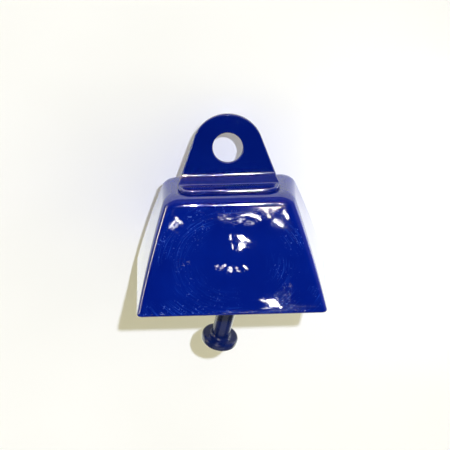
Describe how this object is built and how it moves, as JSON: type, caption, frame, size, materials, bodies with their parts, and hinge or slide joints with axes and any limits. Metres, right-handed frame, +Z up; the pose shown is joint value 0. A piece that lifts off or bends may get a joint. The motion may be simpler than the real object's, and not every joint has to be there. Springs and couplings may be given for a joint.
{
  "type": "cowbell",
  "caption": "Small painted steel cowbell: tapered rectangular bell, bent lug with a round hanging hole, and a headed rod clapper on a loose wire link.",
  "frame": {"origin": "centre of the lug's round hanging hole, in the middle of the sheet", "axes": "+Z up along the bell towards the lug, +X to the right along the wide side, -Y to the front"},
  "size_m": [0.0608, 0.0404, 0.0867],
  "materials": {
    "blue_gloss_paint": "thick glossy ultramarine paint",
    "inside_paint": "the same paint, thinner and duller inside the bell",
    "link_wire": "bare drawn wire, dull",
    "clapper_paint": "glossy dark blue paint"
  },
  "bodies": {
    "bell": {"bell_shell": "blue_gloss_paint", "hanging_lug": "blue_gloss_paint", "clapper_staple": "inside_paint", "staple_weld_left": "inside_paint", "staple_weld_right": "inside_paint"},
    "link": {"clapper_link": "link_wire"},
    "clapper": {"clapper": "clapper_paint"}
  },
  "joints": [
    {"name": "link_swing", "type": "hinge", "parent": "bell", "child": "link", "pos_m": [0.00625, -0.00396, -0.02025], "axis": [1, 0, 0], "range_deg": [-40.5, 17.5]},
    {"name": "clapper_swing", "type": "hinge", "parent": "link", "child": "clapper", "pos_m": [0.00625, -0.00266, -0.02662], "axis": [0, 0.9799, 0.1994], "range_deg": [-48.5, 37.5]}
  ]
}
